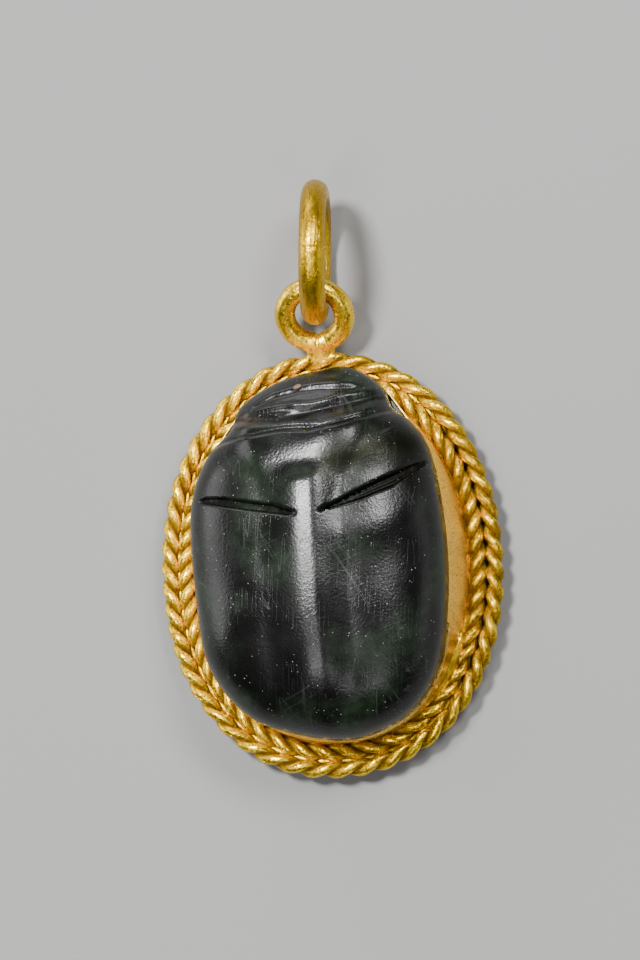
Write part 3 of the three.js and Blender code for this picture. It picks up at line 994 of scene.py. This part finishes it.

# %% [markdown]
# ## The stone's polish
# Hand polishing leaves a soft gloss with a slight grain, so highlights break up instead of
# mirroring the lamps. Scratches, tool cuts and the vein are rougher. Raising roughness alone would
# turn dark stone grey, so in the tool cuts and on the olive vein a share of Metallic takes the
# reflection down to the stone's own dark colour: painted shade, over the dust in the cuts, that keeps
# them dark under the lamps.

# %% Green stone: polish
grain = noise(tree, place, 8000.0, 1.0)
rubbed = noise(tree, place, 500.0, 4.0)
worn = plus(tree, times(tree, scratches, 0.15), times(tree, cut_away, 0.16))
roughness = plus(tree, ramp(tree, rubbed, 0.3, 0.7, 0.24, 0.33), worn)
roughness = plus(tree, roughness, times(tree, matte, 0.14))
tree.links.new(roughness, shader.inputs["Roughness"])
dug_out = plus(tree, times(tree, scratches, 0.12), times(tree, specks, 0.3))
add_bump(tree, shader, maths(tree, "SUBTRACT", grain, dug_out), 0.011)
shader.inputs["IOR"].default_value = 1.5
shader.inputs["Specular IOR Level"].default_value = 0.34
# Painted shade: over the dust in the tool cuts and on the olive vein, Metallic takes the reflection down
# to the stone's own dark colour.
dulled_and_shaded = maths(tree, "MAXIMUM", matte, times(tree, cut_away, 0.9))
tree.links.new(times(tree, dulled_and_shaded, 0.85), shader.inputs["Metallic"])
dress(scarab, stone_finish)
print("stone finish has", len(tree.nodes), "nodes")

# %% [markdown]
# ## Gold
# All the gold is one alloy in three states of wear: the bezel is satin, the wires are bright, with
# grime and painted shade in their hollows, and the rings are handled. The eyelet's gold is lightened
# as a painted highlight and the loose ring's darkened as painted shade. One function makes them, and
# each option adds one feature: flooded solder and a painted highlight along the lap's cut edge, grime
# and painted shade, and drawn lines that follow the wire. Gold takes its colour from its reflections,
# so its blue is kept very low. Otherwise its highlights turn pale.

# %% Gold
def gold_finish(name, light, deep, rough_low, rough_high, grain_mm, pits=0.12, grimy_and_shaded=False,
                lapped=False, drawn=0.0):
    """A gold in two clouded colours, with a range of roughness and a grain in millimetres."""
    material, tree, shader, place = new_material(name)
    cloud = noise(tree, place, 350.0, 5.0, 0.6)
    colour = blend_colour(tree, ramp(tree, cloud, 0.35, 0.68), light, deep)
    specks = use(tree, PITS, Place=place, Scale=5200.0, Share=pits)
    colour = blend_colour(tree, times(tree, specks, 0.55), colour, (0.12, 0.06, 0.02, 1))
    dull = times(tree, specks, 0.25)
    if lapped:
        lap = kept(tree, "lap")
        streak_place = add_node(tree, "ShaderNodeVectorMath", {0: place, 1: (3000, 900, 700)},
                                operation="MULTIPLY").outputs[0]
        streak = ramp(tree, noise(tree, streak_place, 1.0, 3.0), 0.35, 0.65)
        streaky = plus(tree, times(tree, streak, 0.5), 0.4)
        flooded = times(tree, lap, streaky)
        colour = blend_colour(tree, flooded, colour, (0.5, 0.26, 0.015, 1))
        # A painted highlight along the lap's cut edge.
        colour = blend_colour(tree, kept(tree, "lap_edge_highlight"), colour, (1.0, 0.82, 0.3, 1))
        dull = maths(tree, "SUBTRACT", dull, times(tree, lap, 0.2))
    if grimy_and_shaded:
        # Grime and painted shade: the creases, the low places and the right side are darkened.
        patchy = ramp(tree, noise(tree, place, 1400.0, 4.0), 0.3, 0.62)
        right_side_darkening = times(tree, times(tree, kept(tree, "soil_and_shade"), 0.75), patchy)
        grime_and_shade = maths(tree, "MAXIMUM", times(tree, kept(tree, "hollow"), 0.82), right_side_darkening)
        colour = blend_colour(tree, grime_and_shade, colour, (0.1, 0.042, 0.004, 1))
        dull = plus(tree, dull, times(tree, grime_and_shade, 0.15))
    if drawn:
        lines = ramp(tree, noise(tree, kept(tree, "laid_out", "Vector"), 1.6, 2.0, 0.6), 0.56, 0.66)
        colour = blend_colour(tree, times(tree, lines, drawn), colour, (0.17, 0.08, 0.008, 1))
    shader.inputs["Metallic"].default_value = 1.0
    fine = noise(tree, place, 6000.0, 1.5)
    speckle = ramp(tree, noise(tree, place, 9000.0, 1.0), 0.56, 0.66)
    scratches = use(tree, SCRATCHES, Place=place, Turn=0.5, Scale=3000.0, Share=0.55)
    colour = blend_colour(tree, times(tree, speckle, 0.45), colour, (0.25, 0.13, 0.02, 1))
    tree.links.new(colour, shader.inputs["Base Color"])
    roughness = plus(tree, ramp(tree, fine, 0.3, 0.7, rough_low, rough_high), dull)
    tree.links.new(roughness, shader.inputs["Roughness"])
    dug_out = plus(tree, times(tree, scratches, 0.3), times(tree, specks, 0.5))
    relief = maths(tree, "SUBTRACT", fine, dug_out)
    if drawn:
        relief = maths(tree, "SUBTRACT", relief, times(tree, lines, 0.8))
    add_bump(tree, shader, relief, grain_mm)
    print(name, "has", len(tree.nodes), "nodes")
    return material

# %% [markdown]
# ## The gold's four finishes
# The bezel is the palest and least shiny. The wires are the brightest, and the eyelet's gold is
# nearly as bright, a painted highlight. The loose ring is the darkest, painted shade for darker
# reflections round it, and the lines of its drawing still show, as they do on the wires.

# %% Dress the gold
bezel_finish = gold_finish("matte_bezel_gold", (1.0, 0.74, 0.19, 1), (0.9, 0.62, 0.12, 1),
                           0.46, 0.56, 0.012, pits=0.2, lapped=True)
wire_finish = gold_finish("bright_wire_gold", (1.0, 0.67, 0.025, 1), (0.9, 0.56, 0.015, 1),
                          0.25, 0.37, 0.028, grimy_and_shaded=True, drawn=0.6)
# The eyelet's gold is lightened, a painted highlight.
eyelet_finish = gold_finish("eyelet_gold_painted_bright", (0.98, 0.66, 0.04, 1), (0.86, 0.54, 0.02, 1),
                            0.26, 0.36, 0.02)
# The loose ring's gold is darkened, painted shade for darker reflections round it.
ring_finish = gold_finish("ring_gold_painted_dark", (0.7, 0.44, 0.012, 1), (0.46, 0.27, 0.006, 1),
                          0.3, 0.42, 0.024, drawn=0.55)
dress(bezel, bezel_finish)
dress(inner_wire, wire_finish)
dress(outer_wire, wire_finish)
dress(eyelet, eyelet_finish)
dress(jump_ring, ring_finish)

# %% [markdown]
# ## Floor and lights
# The amulet lies on a plain pale floor. A plane is enough: it shows in the picture but is no part
# of the amulet.

# %% Floor
start_clean()
bpy.ops.mesh.primitive_plane_add(size=3, location=(0, 0, 0))
floor = bpy.context.active_object
floor.name = "floor"
floor_finish, tree, shader, place = new_material("pale_floor")
shader.inputs["Base Color"].default_value = (0.21, 0.21, 0.206, 1)
shader.inputs["Roughness"].default_value = 0.8
dress(floor, floor_finish)
print("floor", floor.dimensions.x, "m wide")

# %% [markdown]
# The lamps are ovals, because polished stone mirrors the shape of a lamp and an oval reflection has
# no corners. The key lamp stands where a mirror lying flat would send its light to the camera, so it
# shines off everything level. The strip carries that line down the keel. Two small lamps catch the
# right wing case and the tail, and three broad weak ones light the gold from both sides and the head
# end. The world is kept dark, or the stone turns hazy.

# %% Lights and world
LAMPS = [  # name, where it stands, distance and size in metres, brightness of its face
    ("key", (-0.19, 0.21, 0.96), 0.45, (0.085, 0.09), 215),
    ("strip", (-0.19, -0.4, 0.9), 0.45, (0.07, 0.22), 15),
    ("high right", (0.42, 0.38, 0.83), 0.45, (0.2, 0.09), 42),
    ("tail", (0.34, -0.48, 0.8), 0.45, (0.14, 0.08), 8),
    ("left", (-0.95, 0.25, 0.25), 0.4, (0.32, 0.2), 4.4),
    ("right", (0.98, -0.05, 0.2), 0.4, (0.3, 0.16), 1.3),
    ("head end", (-0.35, 0.95, 0.3), 0.4, (0.32, 0.2), 5),
]
for name, direction, distance, size, radiance in LAMPS:
    data = bpy.data.lights.new(name, "AREA")
    data.shape = "ELLIPSE"
    data.size, data.size_y = size
    data.energy = radiance * math.pi * math.pi / 4 * size[0] * size[1]
    lamp = bpy.data.objects.new(name, data)
    bpy.context.collection.objects.link(lamp)
    toward = Vector(direction).normalized()
    lamp.location = Vector(aim * MM) + toward * distance
    lamp.rotation_euler = toward.to_track_quat("Z", "Y").to_euler()
world = bpy.data.worlds.new("studio")
bpy.context.scene.world = world
world.use_nodes = True
background = world.node_tree.nodes["Background"]
background.inputs["Color"].default_value = (1, 1, 1, 1)
background.inputs["Strength"].default_value = 0.05
print(len(LAMPS), "lamps, and a world of strength", background.inputs["Strength"].default_value)

# %% [markdown]
# ## Stand in for the solids
# Each finished piece is attached to the root body and stands for its solid in the frame, which is
# hidden.

# %% Replace the solids
for piece, node, slot in (
    (scarab, "scarab", "green_stone"),
    (bezel, "bezel_collar", "bezel_gold"),
    (inner_wire, "inner_twisted_wire", "wire_gold"),
    (outer_wire, "outer_twisted_wire", "wire_gold"),
    (eyelet, "eyelet", "ring_gold"),
    (jump_ring, "jump_ring", "ring_gold"),
):
    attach(piece, "root")
    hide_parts(node)
    print(piece.name, "stands for", node)

# %% [markdown]
# The view layer is updated once more, so that every piece stands in its final place.

# %% Update the view layer
bpy.context.view_layer.update()
